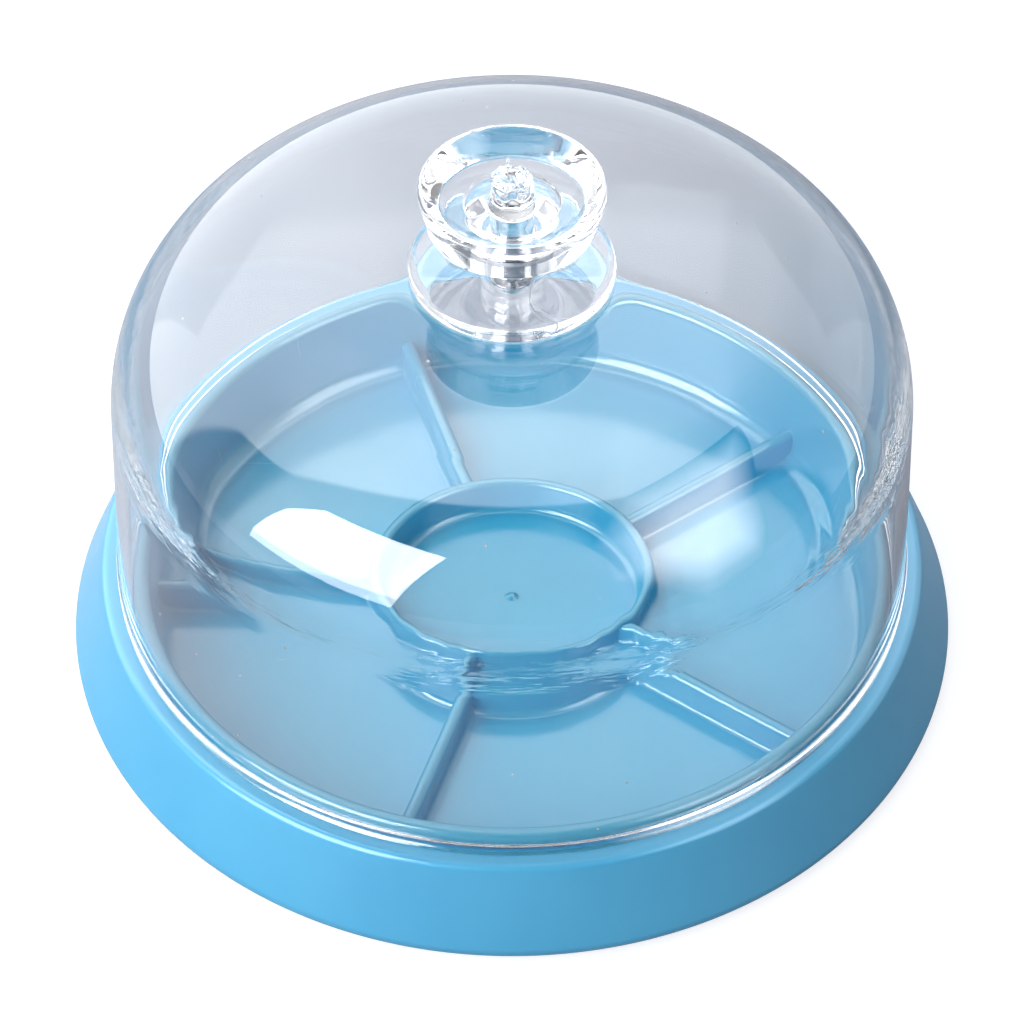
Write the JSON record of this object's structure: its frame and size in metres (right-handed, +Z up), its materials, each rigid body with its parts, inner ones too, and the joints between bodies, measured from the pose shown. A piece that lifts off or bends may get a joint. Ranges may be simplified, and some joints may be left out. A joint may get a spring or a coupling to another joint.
{
  "type": "covered divided palette",
  "caption": "Round divided palette tray in a skirted pedestal, with a clear domed cover lifted off by a clear dished knob.",
  "frame": {"origin": "centre of the pedestal's footprint, on the table", "axes": "+Z up along the axis of the tray, cover and knob; -X runs along one dividing rib"},
  "size_m": [0.2298, 0.2298, 0.1594],
  "materials": {
    "blue_plastic": "gloss",
    "tray_plastic": "gloss",
    "clear_cover": "clear gloss",
    "clear_knob": "clear gloss",
    "bright_metal": "polished",
    "screw_steel": "plated"
  },
  "bodies": {
    "pedestal": {"pedestal_base": "blue_plastic"},
    "tray": {"divided_tray": "tray_plastic"},
    "cover_axle": {"knob_screw": "screw_steel", "screw_washer": "screw_steel"},
    "cover": {"cover_dome": "clear_cover", "knob_flange": "clear_knob", "knob_post": "bright_metal", "knob_head": "clear_knob"}
  },
  "joints": [
    {"name": "tray_lift", "type": "slide", "parent": "pedestal", "child": "tray", "axis": [0, 0, 1], "range_m": [0, 0.06]},
    {"name": "cover_lift", "type": "slide", "parent": "tray", "child": "cover_axle", "axis": [0, 0, 1], "range_m": [0, 0.14]},
    {"name": "cover_turn", "type": "hinge", "parent": "cover_axle", "child": "cover", "pos_m": [0, 0, 0.13], "axis": [0, 0, 1], "continuous": true}
  ]
}
